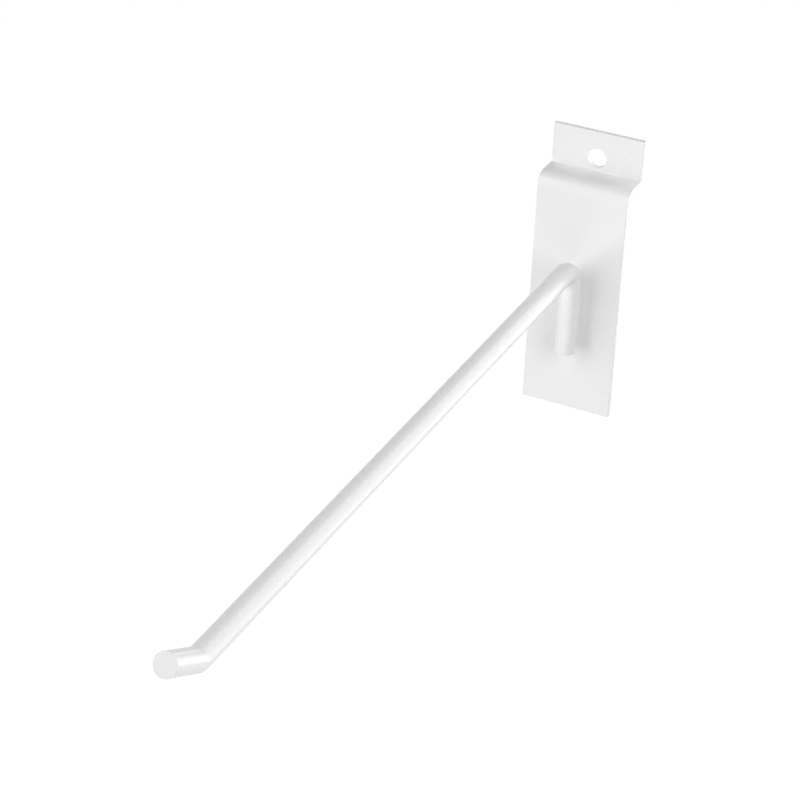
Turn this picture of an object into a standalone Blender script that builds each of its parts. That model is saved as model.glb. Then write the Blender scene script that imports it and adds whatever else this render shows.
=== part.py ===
"""Slatwall hook: a folded sheet-steel back plate with a bent round bar welded to its face.

Units are metres and +Z is up. The origin lies on the back face of the main plate, midway
across its width and straight behind the arm's axis. The arm runs forward along -Y. The tab
that hooks behind a slat stands towards +Y.
"""

import math

import bmesh
import bpy
from mathutils import Vector

# Folded sheet
SHEET_THICKNESS = 0.0015
PLATE_WIDTH = 0.027
LEDGE_HEIGHT = 0.07125
TAB_HEIGHT = 0.01175
TAB_SETBACK = 0.0096
FRONT_FOLD_INNER_RADIUS = 0.0020
TAB_FOLD_INNER_RADIUS = 0.0004
SHEET_EDGE_ROUND = 0.0002

# Screw hole in the tab
HOLE_DIAMETER = 0.0056
HOLE_ABOVE_LEDGE = 0.0038

# Bent round bar
BAR_DIAMETER = 0.006
ARM_ABOVE_PLATE_FOOT = 0.04725
ARM_LENGTH = 0.212
LEG_LENGTH = 0.02725
ROOT_BEND_RADIUS = 0.0065
TIP_LENGTH = 0.015
TIP_ANGLE = math.radians(29.0)
TIP_BEND_RADIUS = 0.010
BAR_END_ROUND = 0.00025

# The welded leg's face stands this far off the plate.
WELD_GAP = 0.0003

# Fineness of the round stretches
ARC_STEP = math.radians(5.0)
SHEET_ARC_STEP = math.radians(10.0)
BAR_BEVEL_RESOLUTION = 14
HOLE_SIDES = 48
ROUND_SEGMENTS = 2
MERGE_DISTANCE = 0.00001
SHARP_ANGLE = math.radians(40.0)

# White powder coat
COAT_COLOUR = (0.86, 0.86, 0.86, 1.0)
COAT_ROUGHNESS = 0.42

# Derived places
PLATE_FRONT = -SHEET_THICKNESS
TAB_FRONT = PLATE_FRONT + TAB_SETBACK
LEG_AXIS = PLATE_FRONT - WELD_GAP - BAR_DIAMETER / 2.0
ARM_CORNER = PLATE_FRONT - ARM_LENGTH


def clear_scene():
    """Remove every object, so that the script starts from an empty scene."""
    for scene_object in list(bpy.data.objects):
        bpy.data.objects.remove(scene_object, do_unlink=True)


def new_collection(name):
    """Return a collection of that name, linked to the scene."""
    collection = bpy.data.collections.new(name)
    bpy.context.scene.collection.children.link(collection)
    return collection


def coat_material(name):
    """Return the white powder coat of one piece."""
    material = bpy.data.materials.new(name)
    material.use_nodes = True
    shader = material.node_tree.nodes["Principled BSDF"]
    shader.inputs["Base Color"].default_value = COAT_COLOUR
    shader.inputs["Roughness"].default_value = COAT_ROUGHNESS
    shader.inputs["Metallic"].default_value = 0.0
    return material


def rounded_path(corners, radii, step):
    """Return a path in the YZ plane through the corners, with an arc at each inner one.

    The corners are (y, z) pairs, and the radii are those of the inner corners in order.
    """
    points = [Vector(corners[0])]
    for before, corner, after, radius in zip(corners, corners[1:], corners[2:], radii):
        corner = Vector(corner)
        incoming = (corner - Vector(before)).normalized()
        outgoing = (Vector(after) - corner).normalized()
        turn = incoming.angle_signed(outgoing)
        side = Vector((incoming.y, -incoming.x)) if turn > 0.0 else Vector((-incoming.y, incoming.x))
        start = corner - incoming * radius * math.tan(abs(turn) / 2.0)
        centre = start + side * radius
        arc_steps = max(1, round(abs(turn) / step))
        for index in range(arc_steps + 1):
            angle = abs(turn) * index / arc_steps
            points.append(centre - side * radius * math.cos(angle) + incoming * radius * math.sin(angle))
    points.append(Vector(corners[-1]))
    return points


def shade(mesh):
    """Shade a mesh smooth, with its true edges kept sharp."""
    mesh.shade_smooth()
    mesh.set_sharp_from_angle(angle=SHARP_ANGLE)


def round_edges(piece, width):
    """Round every sharp edge of a piece."""
    bevel = piece.modifiers.new("round_edges", "BEVEL")
    bevel.limit_method = "ANGLE"
    bevel.angle_limit = SHARP_ANGLE
    bevel.width = width
    bevel.segments = ROUND_SEGMENTS
    bevel.use_clamp_overlap = True


def sheet_centreline():
    """Return the folded sheet's mid-surface profile as (y, z) points, from its foot up."""
    half = SHEET_THICKNESS / 2.0
    ledge_middle = LEDGE_HEIGHT - half
    corners = [
        (PLATE_FRONT + half, 0.0),
        (PLATE_FRONT + half, ledge_middle),
        (TAB_FRONT + half, ledge_middle),
        (TAB_FRONT + half, LEDGE_HEIGHT + TAB_HEIGHT),
    ]
    radii = [FRONT_FOLD_INNER_RADIUS + half, TAB_FOLD_INNER_RADIUS + half]
    return rounded_path(corners, radii, SHEET_ARC_STEP)


def make_back_plate(collection, cutters, origin):
    """Fold the sheet from its foot to the tab's top and punch the screw hole."""
    mesh = bpy.data.meshes.new("back_plate")
    strip = bmesh.new()
    left_edge = [strip.verts.new((-PLATE_WIDTH / 2.0, y, z)) for y, z in sheet_centreline()]
    profile_edges = [strip.edges.new(pair) for pair in zip(left_edge, left_edge[1:])]
    swept = bmesh.ops.extrude_edge_only(strip, edges=profile_edges)
    right_edge = [item for item in swept["geom"] if isinstance(item, bmesh.types.BMVert)]
    bmesh.ops.translate(strip, verts=right_edge, vec=(PLATE_WIDTH, 0.0, 0.0))
    bmesh.ops.recalc_face_normals(strip, faces=strip.faces)
    strip.to_mesh(mesh)
    strip.free()

    plate = bpy.data.objects.new("back_plate", mesh)
    plate.parent = origin
    plate.location.z = -ARM_ABOVE_PLATE_FOOT
    collection.objects.link(plate)
    mesh.materials.append(coat_material("back_plate_coat"))

    wall = plate.modifiers.new("sheet_thickness", "SOLIDIFY")
    wall.thickness = SHEET_THICKNESS
    wall.offset = 0.0
    wall.use_even_offset = True

    punch = plate.modifiers.new("screw_hole", "BOOLEAN")
    punch.operation = "DIFFERENCE"
    punch.object = make_hole_punch(cutters, plate)

    round_edges(plate, SHEET_EDGE_ROUND)
    shade(mesh)
    return plate


def make_hole_punch(cutters, plate):
    """Make the round cutter that passes through the tab."""
    mesh = bpy.data.meshes.new("hole_punch")
    rod = bmesh.new()
    bmesh.ops.create_cone(
        rod,
        cap_ends=True,
        segments=HOLE_SIDES,
        radius1=HOLE_DIAMETER / 2.0,
        radius2=HOLE_DIAMETER / 2.0,
        depth=SHEET_THICKNESS * 3.0,
    )
    rod.to_mesh(mesh)
    rod.free()

    punch = bpy.data.objects.new("hole_punch", mesh)
    punch.parent = plate
    punch.location = (0.0, TAB_FRONT + SHEET_THICKNESS / 2.0, LEDGE_HEIGHT + HOLE_ABOVE_LEDGE)
    punch.rotation_euler.x = math.pi / 2.0
    punch.hide_render = True
    punch.display_type = "WIRE"
    cutters.objects.link(punch)
    return punch


def bar_centreline():
    """Return the bar's centreline as (y, z) points, from the leg's cut end to the tip."""
    arm_corner = ARM_CORNER - LEG_AXIS
    tip_end = (
        arm_corner - TIP_LENGTH * math.cos(TIP_ANGLE),
        TIP_LENGTH * math.sin(TIP_ANGLE),
    )
    corners = [(0.0, -LEG_LENGTH), (0.0, 0.0), (arm_corner, 0.0), tip_end]
    return rounded_path(corners, [ROOT_BEND_RADIUS, TIP_BEND_RADIUS], ARC_STEP)


def make_prong(collection, origin):
    """Bend the round bar into its leg, arm and upturned tip."""
    curve = bpy.data.curves.new("prong_path", "CURVE")
    curve.dimensions = "3D"
    curve.bevel_depth = BAR_DIAMETER / 2.0
    curve.bevel_resolution = BAR_BEVEL_RESOLUTION
    curve.use_fill_caps = True
    path = bar_centreline()
    spline = curve.splines.new("POLY")
    spline.points.add(len(path) - 1)
    for point, (y, z) in zip(spline.points, path):
        point.co = (0.0, y, z, 1.0)

    guide = bpy.data.objects.new("prong_path", curve)
    guide.parent = origin
    guide.location.y = LEG_AXIS
    collection.objects.link(guide)
    bpy.context.view_layer.update()

    evaluated = guide.evaluated_get(bpy.context.evaluated_depsgraph_get())
    mesh = bpy.data.meshes.new_from_object(evaluated)
    mesh.name = "prong"
    bar = bmesh.new()
    bar.from_mesh(mesh)
    bmesh.ops.remove_doubles(bar, verts=bar.verts, dist=MERGE_DISTANCE)
    bmesh.ops.recalc_face_normals(bar, faces=bar.faces)
    bar.to_mesh(mesh)
    bar.free()

    prong = bpy.data.objects.new("prong", mesh)
    prong.parent = origin
    prong.matrix_world = guide.matrix_world
    collection.objects.link(prong)
    bpy.data.objects.remove(guide, do_unlink=True)
    bpy.data.curves.remove(curve)
    mesh.materials.append(coat_material("prong_coat"))
    round_edges(prong, BAR_END_ROUND)
    shade(mesh)
    return prong


def main():
    """Build the hook."""
    clear_scene()
    hook = new_collection("slatwall_hook")
    cutters = new_collection("cutters")
    origin = bpy.data.objects.new("hook_origin", None)
    hook.objects.link(origin)
    make_back_plate(hook, cutters, origin)
    make_prong(hook, origin)
    bpy.context.view_layer.update()


main()
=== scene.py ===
"""Looks of a white powder-coated slatwall hook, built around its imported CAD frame.

The hook is a folded sheet-steel back plate with a bent round bar welded to its face. Both are
modelled again here with fine round stretches and rounded edges. The coat that fills the
crevice along the weld is added, and all of it is dressed in a white satin powder coat. Units
are metres and +Z is up.
"""

from __future__ import annotations

import logging
import math
from dataclasses import dataclass
from enum import Enum
from typing import Any, Callable, Iterable

import bmesh
import bpy
from mathutils import Matrix, Vector

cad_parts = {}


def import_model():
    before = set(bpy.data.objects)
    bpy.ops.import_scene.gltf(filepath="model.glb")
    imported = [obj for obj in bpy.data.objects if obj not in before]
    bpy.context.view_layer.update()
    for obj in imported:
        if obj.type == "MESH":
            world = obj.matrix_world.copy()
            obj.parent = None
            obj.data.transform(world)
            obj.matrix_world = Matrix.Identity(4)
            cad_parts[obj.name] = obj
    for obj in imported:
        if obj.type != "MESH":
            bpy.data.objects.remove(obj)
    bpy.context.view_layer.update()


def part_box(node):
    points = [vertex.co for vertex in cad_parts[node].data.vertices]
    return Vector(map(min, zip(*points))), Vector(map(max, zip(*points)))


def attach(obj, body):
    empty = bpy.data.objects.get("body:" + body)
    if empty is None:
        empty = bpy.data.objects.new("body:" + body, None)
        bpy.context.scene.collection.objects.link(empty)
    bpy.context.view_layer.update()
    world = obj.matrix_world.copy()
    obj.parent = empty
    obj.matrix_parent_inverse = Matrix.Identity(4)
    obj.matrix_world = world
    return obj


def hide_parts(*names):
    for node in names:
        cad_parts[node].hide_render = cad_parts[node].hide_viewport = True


LOG = logging.getLogger("slatwall_hook")

BODY = "root"

PHOTO_SIDE_PX = 800
SENSOR_WIDTH_MM = 36.0

MERGE_DISTANCE = 0.000005
SHARP_ANGLE = math.radians(35.0)
QUARTER_TURN = math.pi / 2.0
WIDTH_AXIS = Vector((1.0, 0.0, 0.0))
PUNCH_LENGTH_IN_SHEETS = 3.0
FLAT_FACE_WEIGHT = 50

NOISE_MEAN = 0.5
OCTAVE_WEIGHT = 0.5

# A Mix node has a socket of each name for each type. These are the numbers of its colour ones.
MIX_FACTOR = 0
MIX_FIRST = 6
MIX_SECOND = 7
MIX_RESULT = 2

WHITE = (1.0, 1.0, 1.0, 1.0)
FLOOR_PAINT = (0.85, 0.85, 0.85, 1.0)
FLOOR_GLOW = 0.99
SEEN_RAYS = ("Is Camera Ray", "Is Glossy Ray", "Is Transmission Ray")

Box = tuple[Vector, Vector]
Number = float | int


class SelectMode(Enum):
    """What edit mode selects."""

    VERTICES = "VERT"
    EDGES = "EDGE"


class Plane(Enum):
    """A plane along the hook's width, by the number of the coordinate that it fixes."""

    UPRIGHT = 1
    LEVEL = 2


class Value:
    """A shader socket that takes part in Python arithmetic."""

    def __init__(self, graph: Graph, socket: bpy.types.NodeSocket) -> None:
        """Wrap one output socket of the graph."""
        self.graph = graph
        self.socket = socket

    def _math(self, operation: str, first: Value | Number, second: Value | Number) -> Value:
        """Return the result of one Math node.

        Args:
            operation: The Math node's operation.
            first: The first operand.
            second: The second operand.

        Returns:
            The node's output.
        """
        return self.graph.node("ShaderNodeMath", {"operation": operation}, {0: first, 1: second})

    def __add__(self, other: Value | Number) -> Value:
        """Add a value or a number."""
        return self._math("ADD", self, other)

    def __radd__(self, other: Number) -> Value:
        """Add to a number."""
        return self._math("ADD", other, self)

    def __sub__(self, other: Value | Number) -> Value:
        """Take away a value or a number."""
        return self._math("SUBTRACT", self, other)

    def __rsub__(self, other: Number) -> Value:
        """Take away from a number."""
        return self._math("SUBTRACT", other, self)

    def __mul__(self, other: Value | Number) -> Value:
        """Multiply by a value or a number."""
        return self._math("MULTIPLY", self, other)

    def __rmul__(self, other: Number) -> Value:
        """Multiply a number."""
        return self._math("MULTIPLY", other, self)

    def __or__(self, other: Value) -> Value:
        """Return the larger of two masks."""
        return self._math("MAXIMUM", self, other)

    def swing(self, reach: float) -> Value:
        """Return a noise that swings about nought by a reach to each side."""
        return (self - NOISE_MEAN) * (2.0 * reach)


class Graph:
    """The node tree of one material or world, filled from Python expressions."""

    def __init__(self, tree: bpy.types.NodeTree) -> None:
        """Empty the tree and keep it."""
        self.tree = tree
        self.tree.nodes.clear()

    def node(self, kind: str, settings: dict[str, Any], inputs: dict[Any, Any], output: Any = 0) -> Value:
        """Add a node, set it up and connect its inputs.

        Args:
            kind: The node's type.
            settings: The node's own settings, set before its sockets.
            inputs: Values or links by socket name or number.
            output: The name or number of the output to return.

        Returns:
            The chosen output, or the first input of a node that has no output.
        """
        made = self.tree.nodes.new(kind)
        for name, setting in settings.items():
            setattr(made, name, setting)
        for key, given in inputs.items():
            if isinstance(given, Value):
                self.tree.links.new(given.socket, made.inputs[key])
            else:
                made.inputs[key].default_value = given
        side = made.outputs if len(made.outputs) else made.inputs
        return Value(self, side[output])

    def object_point(self) -> Value:
        """Return the shaded point in the piece's own coordinates."""
        return self.node("ShaderNodeTexCoord", {}, {}, "Object")

    def noise(self, point: Value, wavelength: float, detail: float) -> Value:
        """Return noise whose lumps are about one wavelength across.

        Args:
            point: Where the noise is read.
            wavelength: The size of a lump in metres.
            detail: The number of finer octaves.

        Returns:
            The noise's factor.
        """
        inputs = {"Vector": point, "Scale": 1.0 / wavelength, "Detail": detail, "Roughness": OCTAVE_WEIGHT}
        return self.node("ShaderNodeTexNoise", {"noise_dimensions": "3D"}, inputs, "Fac")

    def seen_directly(self) -> Value:
        """Return 1 for camera, glossy and transmission rays and 0 for the rest."""
        camera, glossy, transmission = (self.node("ShaderNodeLightPath", {}, {}, ray) for ray in SEEN_RAYS)
        return camera | glossy | transmission


@dataclass(frozen=True)
class PowderCoat:
    """A baked white powder coat: faint mottling, orange peel and a very fine grain."""

    name: str
    colour: tuple[float, float, float]
    roughness: float
    roughness_swing: float = 0.02
    mottle: float = 0.010
    mottle_size: float = 0.009
    mottle_detail: float = 3.0
    speckle: float = 0.034
    grain_size: float = 0.00070
    grain_height: float = 0.000016
    peel_size: float = 0.0016
    peel_height: float = 0.000004
    fine_detail: float = 1.0
    refraction: float = 1.5
    gloss: float = 0.35

    def material(self) -> bpy.types.Material:
        """Make the coat's material, which reads object coordinates.

        Returns:
            The material.
        """
        made = bpy.data.materials.new(self.name)
        made.use_nodes = True
        graph = Graph(made.node_tree)
        point = graph.object_point()
        mottling = graph.noise(point, self.mottle_size, self.mottle_detail)
        grain = graph.noise(point, self.grain_size, self.fine_detail)
        peel = graph.noise(point, self.peel_size, self.fine_detail)

        tone = 1.0 + mottling.swing(self.mottle) + grain.swing(self.speckle)
        fine = self._bump(graph, grain, self.grain_height)
        shader = graph.node(
            "ShaderNodeBsdfPrincipled",
            {},
            {
                "Base Color": self._tinted(graph, tone),
                "Roughness": self.roughness + mottling.swing(self.roughness_swing),
                "Metallic": 0.0,
                "IOR": self.refraction,
                "Specular IOR Level": self.gloss,
                "Normal": self._bump(graph, peel, self.peel_height, fine),
            },
        )
        graph.node("ShaderNodeOutputMaterial", {}, {"Surface": shader})
        return made

    def _tinted(self, graph: Graph, tone: Value) -> Value:
        """Return the coat's colour, made lighter and darker by a tone.

        Args:
            graph: The material's graph.
            tone: The tone, which is 1 on average.

        Returns:
            The colour.
        """
        grey = graph.node("ShaderNodeCombineColor", {}, {0: tone, 1: tone, 2: tone})
        settings = {"data_type": "RGBA", "blend_type": "MULTIPLY"}
        inputs = {MIX_FACTOR: 1.0, MIX_FIRST: (*self.colour, 1.0), MIX_SECOND: grey}
        return graph.node("ShaderNodeMix", settings, inputs, MIX_RESULT)

    @staticmethod
    def _bump(graph: Graph, height: Value, depth: float, under: Value | None = None) -> Value:
        """Return a normal bumped by a height.

        Args:
            graph: The material's graph.
            height: The height between 0 and 1.
            depth: The full height in metres.
            under: A normal that this bump goes on top of.

        Returns:
            The bumped normal.
        """
        inputs: dict[str, Any] = {"Strength": 1.0, "Distance": depth, "Height": height}
        if under is not None:
            inputs["Normal"] = under
        return graph.node("ShaderNodeBump", {}, inputs, "Normal")


class HandModel:
    """One mesh object, shaped with edit-mode operators and finished with modifiers."""

    def __init__(self, name: str, add: Callable[..., Any], **settings: Any) -> None:
        """Add a primitive with everything else deselected.

        Args:
            name: The object's name.
            add: The primitive's operator.
            settings: The operator's own settings.
        """
        self._deselect_all()
        add(**settings)
        self.piece = bpy.context.object
        self.piece.name = name
        self.piece.data.name = name

    def settle(self) -> None:
        """Move the object's place, turn and scale into its mesh."""
        self._only_this()
        bpy.ops.object.transform_apply(location=True, rotation=True, scale=True)

    def pick_edges(self, wanted: Callable[[bmesh.types.BMEdge], bool]) -> None:
        """Select the edges that pass a test, and nothing else.

        Args:
            wanted: The test of one edge.
        """
        self._edit(SelectMode.EDGES)
        cage = bmesh.from_edit_mesh(self.piece.data)
        for part in (*cage.verts, *cage.edges, *cage.faces):
            part.select = False
        for edge in cage.edges:
            if wanted(edge):
                edge.select_set(True)
        cage.select_flush_mode()
        bmesh.update_edit_mesh(self.piece.data)

    def pick_edges_in(self, plane: Plane, place: float) -> None:
        """Select the edges that lie in a plane, and nothing else.

        Args:
            plane: Which way the plane lies.
            place: The coordinate that it fixes.
        """
        axis = plane.value
        self.pick_edges(lambda edge: all(abs(v.co[axis] - place) < MERGE_DISTANCE for v in edge.verts))

    def pull(self, step: Vector) -> None:
        """Extrude the selected edges along a step."""
        bpy.ops.mesh.extrude_edges_move(TRANSFORM_OT_translate={"value": step})

    def fold(self, centre: Vector, angle: float, steps: int) -> None:
        """Spin the selected edges about a line along the width.

        Args:
            centre: A point on the line.
            angle: The turn, positive from up towards the back.
            steps: The number of steps in the turn.
        """
        bpy.ops.mesh.spin(steps=steps, dupli=False, angle=angle, center=centre, axis=WIDTH_AXIS)

    def close_ends(self) -> None:
        """Fill every open loop with one face."""
        self.pick_edges(lambda edge: edge.is_boundary)
        bpy.ops.mesh.edge_face_add()

    def tidy(self) -> None:
        """Merge doubled vertices and turn every face outwards."""
        self._edit(SelectMode.VERTICES)
        bpy.ops.mesh.select_all(action="SELECT")
        bpy.ops.mesh.remove_doubles(threshold=MERGE_DISTANCE)
        bpy.ops.mesh.normals_make_consistent(inside=False)
        bpy.ops.object.mode_set(mode="OBJECT")

    def modify(self, kind: str, **settings: Any) -> None:
        """Add a modifier, set it and apply it.

        Args:
            kind: The modifier's type.
            settings: The modifier's own settings.
        """
        self._only_this()
        modifier = self.piece.modifiers.new(kind.lower(), kind)
        for name, setting in settings.items():
            setattr(modifier, name, setting)
        bpy.ops.object.modifier_apply(modifier=modifier.name)

    def round_edges(self, width: float, segments: int) -> None:
        """Round every sharp edge.

        Args:
            width: The rounding's width.
            segments: The number of steps across it.
        """
        settings = {"limit_method": "ANGLE", "angle_limit": SHARP_ANGLE, "width": width}
        self.modify("BEVEL", segments=segments, harden_normals=False, use_clamp_overlap=True, **settings)

    def smooth(self) -> None:
        """Shade smooth with face normals that keep the flats flat."""
        self._only_this()
        bpy.ops.object.shade_smooth()
        self.modify("WEIGHTED_NORMAL", mode="FACE_AREA", weight=FLAT_FACE_WEIGHT, keep_sharp=True)

    def dress(self, coat: PowderCoat, node: str, slot: str) -> bpy.types.Object:
        """Give the piece its coat and its body, and hide the CAD node that it replaces.

        Args:
            coat: The finish.
            node: The CAD node that the piece replaces.
            slot: The record's material slot; not used.

        Returns:
            The finished piece.
        """
        self.piece.data.materials.clear()
        self.piece.data.materials.append(coat.material())
        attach(self.piece, BODY)
        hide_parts(node)
        return self.piece

    def _edit(self, mode: SelectMode) -> None:
        """Go to edit mode.

        Args:
            mode: What is selected there.
        """
        self._only_this()
        bpy.ops.object.mode_set(mode="EDIT")
        bpy.ops.mesh.select_mode(type=mode.value)

    def _only_this(self) -> None:
        """Make the piece the only selected object, in object mode."""
        self._deselect_all()
        self.piece.select_set(True)
        bpy.context.view_layer.objects.active = self.piece

    @staticmethod
    def _deselect_all() -> None:
        """Go to object mode and deselect every object."""
        if bpy.context.object is not None and bpy.context.object.mode != "OBJECT":
            bpy.ops.object.mode_set(mode="OBJECT")
        bpy.ops.object.select_all(action="DESELECT")


@dataclass
class BackPlate:
    """The folded sheet: main plate, ledge over the slat's lip, and the tab behind it."""

    box: Box
    sheet: float = 0.0015
    ledge_height: float = 0.07125
    front_fold_radius: float = 0.0020
    tab_fold_radius: float = 0.0002
    hole_diameter: float = 0.0056
    hole_above_ledge: float = 0.0038
    edge_round: float = 0.0002
    hole_edge_round: float = 0.00008
    fold_steps: int = 16
    tab_fold_steps: int = 10
    hole_sides: int = 96
    edge_segments: int = 3
    hole_edge_segments: int = 2

    @property
    def width(self) -> float:
        """The plate's width."""
        return self.box[1].x - self.box[0].x

    @property
    def foot(self) -> float:
        """The height of the plate's lower edge."""
        return self.box[0].z

    @property
    def front(self) -> float:
        """The place of the main plate's front face."""
        return self.box[0].y

    @property
    def ledge_top(self) -> float:
        """The height of the ledge's upper face."""
        return self.foot + self.ledge_height

    @property
    def tab_front(self) -> float:
        """The place of the tab's front face."""
        return self.box[1].y - self.sheet

    def build(self, coat: PowderCoat) -> bpy.types.Object:
        """Fold the sheet, thicken it, punch its hole and round its edges.

        Args:
            coat: The plate's finish.

        Returns:
            The finished plate.
        """
        model = self._folded_skin()
        model.modify("SOLIDIFY", thickness=self.sheet, offset=0.0, use_even_offset=True)
        model.round_edges(self.edge_round, self.edge_segments)
        self._punch(model)
        model.round_edges(self.hole_edge_round, self.hole_edge_segments)
        model.tidy()
        model.smooth()
        return model.dress(coat, "back_plate", "powder_coat_sheet")

    def _folded_skin(self) -> HandModel:
        """Pull and spin the sheet's middle surface from a flat strip.

        Returns:
            The open skin, which has no thickness yet.
        """
        half = self.sheet / 2.0
        middle = self.front + half
        front_radius = self.front_fold_radius + half
        tab_radius = self.tab_fold_radius + half
        ledge = self.ledge_top - half
        fold_start = ledge - front_radius
        height = fold_start - self.foot

        model = HandModel(
            "plate_folded",
            bpy.ops.mesh.primitive_plane_add,
            size=1.0,
            location=(0.0, middle, self.foot + height / 2.0),
            rotation=(QUARTER_TURN, 0.0, 0.0),
        )
        model.piece.scale = (self.width, height, 1.0)
        model.settle()

        front_centre = Vector((0.0, middle + front_radius, fold_start))
        model.pick_edges_in(Plane.LEVEL, fold_start)
        model.fold(front_centre, QUARTER_TURN, self.fold_steps)

        tab_middle = self.tab_front + half
        ledge_end = tab_middle - tab_radius
        model.pull(Vector((0.0, ledge_end - front_centre.y, 0.0)))
        tab_centre = Vector((0.0, ledge_end, ledge + tab_radius))
        model.fold(tab_centre, -QUARTER_TURN, self.tab_fold_steps)
        model.pull(Vector((0.0, 0.0, self.box[1].z - tab_centre.z)))
        model.tidy()
        return model

    def _punch(self, model: HandModel) -> None:
        """Cut the round screw hole through the tab.

        Args:
            model: The thick sheet.
        """
        punch = HandModel(
            "hole_punch",
            bpy.ops.mesh.primitive_cylinder_add,
            vertices=self.hole_sides,
            radius=self.hole_diameter / 2.0,
            depth=self.sheet * PUNCH_LENGTH_IN_SHEETS,
            location=(0.0, self.tab_front + self.sheet / 2.0, self.ledge_top + self.hole_above_ledge),
            rotation=(QUARTER_TURN, 0.0, 0.0),
        )
        punch.settle()
        model.modify("BOOLEAN", operation="DIFFERENCE", object=punch.piece, solver="EXACT")
        bpy.data.objects.remove(punch.piece, do_unlink=True)


@dataclass
class Prong:
    """The bent round bar: the leg on the plate, the level arm and its upturned tip."""

    box: Box
    plate_front: float
    arm_length: float = 0.212
    root_bend_radius: float = 0.0065
    tip_length: float = 0.015
    tip_angle: float = math.radians(29.0)
    tip_bend_radius: float = 0.0035
    end_round: float = 0.0001
    sides: int = 96
    root_steps: int = 32
    tip_steps: int = 16
    end_segments: int = 3

    @property
    def diameter(self) -> float:
        """The bar's diameter."""
        return self.box[1].x - self.box[0].x

    @property
    def foot(self) -> float:
        """The height of the leg's cut end."""
        return self.box[0].z

    @property
    def leg_axis(self) -> float:
        """The place of the leg's axis in front of the plate."""
        return self.box[1].y - self.diameter / 2.0

    @property
    def arm_corner(self) -> float:
        """The place where the arm's and the tip's axes cross."""
        return self.plate_front - self.arm_length

    def build(self, coat: PowderCoat) -> bpy.types.Object:
        """Pull and bend a ring along the bar's path, close its ends and round their rims.

        Args:
            coat: The bar's finish.

        Returns:
            The finished bar.
        """
        model = self._bent_tube()
        model.close_ends()
        model.tidy()
        model.round_edges(self.end_round, self.end_segments)
        model.tidy()
        model.smooth()
        return model.dress(coat, "prong", "powder_coat_bar")

    def _bent_tube(self) -> HandModel:
        """Pull and spin the bar's skin from a ring, from the leg's cut end to the tip's.

        Returns:
            The skin, which is open at both ends.
        """
        model = HandModel(
            "prong_bent",
            bpy.ops.mesh.primitive_circle_add,
            vertices=self.sides,
            radius=self.diameter / 2.0,
            fill_type="NOTHING",
            location=(0.0, self.leg_axis, self.foot),
        )
        model.settle()
        bend = self.root_bend_radius
        model.pick_edges(lambda edge: True)
        model.pull(Vector((0.0, 0.0, -bend - self.foot)))
        model.fold(Vector((0.0, self.leg_axis - bend, -bend)), -QUARTER_TURN, self.root_steps)

        tangent = self.tip_bend_radius * math.tan(self.tip_angle / 2.0)
        bend_start = self.arm_corner + tangent
        model.pull(Vector((0.0, bend_start - (self.leg_axis - bend), 0.0)))
        model.fold(Vector((0.0, bend_start, self.tip_bend_radius)), self.tip_angle, self.tip_steps)
        reach = self.tip_length - tangent
        model.pull(Vector((0.0, -reach * math.cos(self.tip_angle), reach * math.sin(self.tip_angle))))
        return model


@dataclass
class LegSeam:
    """The powder coat that fills the crevice between the leg and the plate along their weld."""

    prong: Prong
    half_width: float = 0.0009
    flare: float = 1.4
    end_margin: float = 0.0004
    sink: float = 0.00005
    edge_segments: int = 1

    def build(self, coat: PowderCoat) -> bpy.types.Object:
        """Lay a narrow strip, wider on the plate, that reaches a little into both pieces.

        Args:
            coat: The seam's finish.

        Returns:
            The finished seam.
        """
        bar_radius = self.prong.diameter / 2.0
        back = self.prong.plate_front + self.sink
        front = self.prong.leg_axis + math.sqrt(bar_radius**2 - self.half_width**2) - self.sink
        foot = self.prong.foot + self.end_margin
        top = self.end_margin - self.prong.root_bend_radius
        model = HandModel(
            "leg_seam",
            bpy.ops.mesh.primitive_cube_add,
            size=1.0,
            location=(0.0, (back + front) / 2.0, (foot + top) / 2.0),
        )
        model.piece.scale = (2.0 * self.half_width, back - front, top - foot)
        model.settle()
        model.pick_edges_in(Plane.UPRIGHT, back)
        middle = Vector((0.0, back, (foot + top) / 2.0))
        bpy.ops.transform.resize(value=(self.flare, 1.0, 1.0), center_override=middle)
        model.tidy()
        model.round_edges(self.sink, self.edge_segments)
        model.smooth()
        return model.dress(coat, "prong", "powder_coat_bar")


@dataclass(frozen=True)
class Softbox:
    """A rectangular lamp that faces the hook from one direction."""

    name: str
    azimuth: float
    elevation: float
    width: float
    height: float
    power: float
    distance: float = 1.1

    def place(self, aim: Vector) -> None:
        """Hang the lamp so that it faces the aim.

        Args:
            aim: The point that it faces.
        """
        away = direction(self.azimuth, self.elevation)
        data = bpy.data.lights.new(self.name, "AREA")
        data.shape = "RECTANGLE"
        data.size = self.width
        data.size_y = self.height
        data.energy = self.power
        lamp = bpy.data.objects.new(self.name, data)
        lamp.location = aim + away * self.distance
        lamp.rotation_euler = away.to_track_quat("Z", "Y").to_euler()
        lamp.visible_camera = False
        bpy.context.scene.collection.objects.link(lamp)


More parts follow.
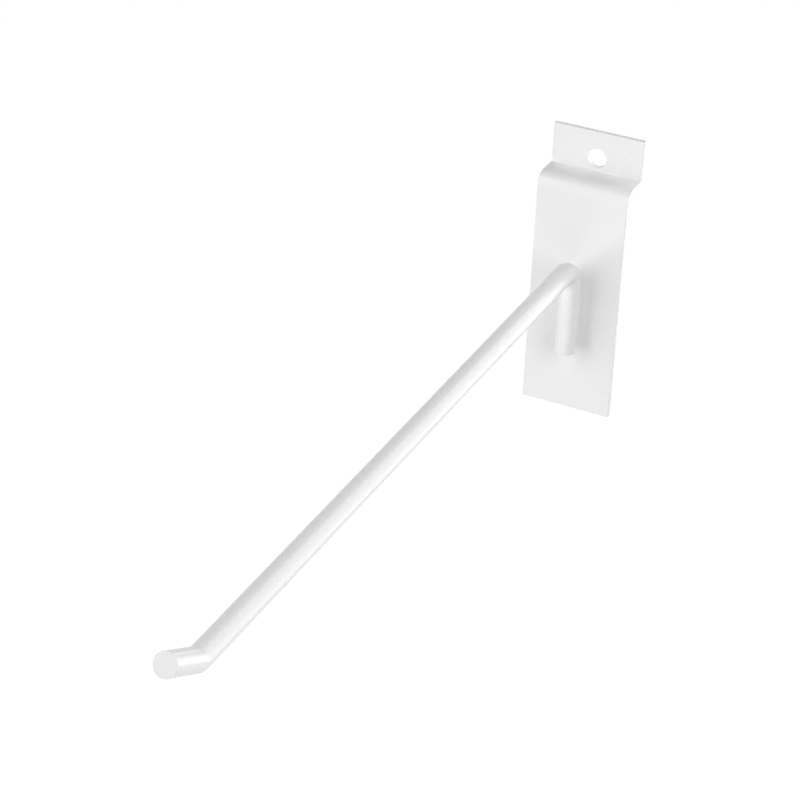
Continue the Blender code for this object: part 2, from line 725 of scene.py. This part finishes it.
@dataclass(frozen=True)
class PhotoCamera:
    """The camera at the photograph's viewing angle."""

    azimuth: float = 24.70
    elevation: float = 30.58
    roll: float = 2.43
    distance: float = 0.60322
    focal_px: float = 2426.67
    aim: tuple[float, float, float] = (-0.00672, -0.1015, 0.00437)
    nearest: float = 0.01
    farthest: float = 100.0

    def place(self) -> None:
        """Make the camera and look through it."""
        data = bpy.data.cameras.new("photo_camera")
        data.sensor_width = SENSOR_WIDTH_MM
        data.lens = self.focal_px * SENSOR_WIDTH_MM / PHOTO_SIDE_PX
        data.clip_start = self.nearest
        data.clip_end = self.farthest
        camera = bpy.data.objects.new("photo_camera", data)
        back = direction(self.azimuth, self.elevation)
        level = back.to_track_quat("Z", "Y").to_matrix()
        turn = Matrix.Rotation(math.radians(self.roll), 3, "Z")
        camera.matrix_world = (level @ turn).to_4x4()
        camera.location = Vector(self.aim) + back * self.distance
        bpy.context.scene.collection.objects.link(camera)
        bpy.context.scene.camera = camera


@dataclass
class Studio:
    """The plain pale floor, the white surroundings and the soft lamps."""

    aim: Vector
    floor_height: float = -2.10
    floor_side: float = 30.0

    def build(self) -> None:
        """Make the floor, the world and the lamps."""
        self._floor()
        self._world()
        for lamp in SOFTBOXES:
            lamp.place(self.aim)

    def _floor(self) -> None:
        """Lay a pale floor well below the hook, which takes light and shadow and has a glow added."""
        model = HandModel(
            "floor",
            bpy.ops.mesh.primitive_plane_add,
            size=self.floor_side,
            location=(0.0, 0.0, self.floor_height),
        )
        model.settle()
        made = bpy.data.materials.new("pale_floor")
        made.use_nodes = True
        # The glow reaches the hook only in its reflections, so choosing it as a lamp adds noise.
        made.cycles.emission_sampling = "NONE"
        graph = Graph(made.node_tree)
        paint = graph.node("ShaderNodeBsdfDiffuse", {}, {"Color": FLOOR_PAINT})
        unlit = graph.node("ShaderNodeEmission", {}, {"Strength": 0.0})
        glow = graph.node("ShaderNodeEmission", {}, {"Color": WHITE, "Strength": FLOOR_GLOW})
        added = graph.node("ShaderNodeMixShader", {}, {0: graph.seen_directly(), 1: unlit, 2: glow})
        shader = graph.node("ShaderNodeAddShader", {}, {0: paint, 1: added})
        graph.node("ShaderNodeOutputMaterial", {}, {"Surface": shader})
        model.piece.data.materials.append(made)

    @staticmethod
    def _world() -> None:
        """Make the surroundings white where they are seen, with no light of their own elsewhere."""
        world = bpy.data.worlds.new("surroundings")
        bpy.context.scene.world = world
        world.use_nodes = True
        # As with the floor's glow, choosing the surroundings as a lamp adds noise.
        world.cycles.sampling_method = "NONE"
        graph = Graph(world.node_tree)
        inputs = {"Color": WHITE, "Strength": graph.seen_directly()}
        shader = graph.node("ShaderNodeBackground", {}, inputs)
        graph.node("ShaderNodeOutputWorld", {}, {"Surface": shader})


# Each lamp's name, azimuth and elevation in degrees, width and height in metres, and watts.
SOFTBOXES = (
    Softbox("left_key", 306.9, 13.2, 1.04, 2.00, 16.85),
    Softbox("rear_right", 142.9, 14.2, 0.87, 1.97, 10.80),
    Softbox("right_strip", 64.5, 26.0, 0.63, 1.00, 8.25),
    Softbox("low_front", 24.1, -38.1, 1.28, 2.00, 6.25),
    Softbox("rear_low", 183.7, -14.4, 0.15, 0.53, 1.10),
)
SHEET_COAT = PowderCoat("white_coat_sheet", colour=(0.865, 0.86, 0.863), roughness=0.22)
BAR_COAT = PowderCoat(
    "white_coat_bar",
    colour=(0.862, 0.86, 0.862),
    roughness=0.20,
    speckle=0.016,
    grain_height=0.000006,
    peel_height=0.000002,
)


def direction(azimuth: float, elevation: float) -> Vector:
    """Return the unit direction from the hook towards a place.

    Args:
        azimuth: Degrees about +Z, 0 in front of the plate (-Y) and 90 on its right (+X).
        elevation: Degrees above the horizon.

    Returns:
        The direction.
    """
    a = math.radians(azimuth)
    e = math.radians(elevation)
    return Vector((math.sin(a) * math.cos(e), -math.cos(a) * math.cos(e), math.sin(e)))


def triangles(piece: bpy.types.Object) -> int:
    """Return how many triangles a mesh has."""
    return sum(len(face.vertices) - 2 for face in piece.data.polygons)


def main() -> None:
    """Load the frame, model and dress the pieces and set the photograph's view."""
    logging.basicConfig(level=logging.INFO, format="%(name)s: %(message)s")
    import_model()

    plate = BackPlate(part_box("back_plate"))
    prong = Prong(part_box("prong"), plate.front)
    seam = LegSeam(prong)
    for piece in (plate.build(SHEET_COAT), prong.build(BAR_COAT), seam.build(BAR_COAT)):
        LOG.info("%s: %d triangles", piece.name, triangles(piece))

    camera = PhotoCamera()
    camera.place()
    Studio(Vector(camera.aim)).build()
    bpy.context.scene.view_settings.view_transform = "Standard"


if __name__ == "__main__":
    main()
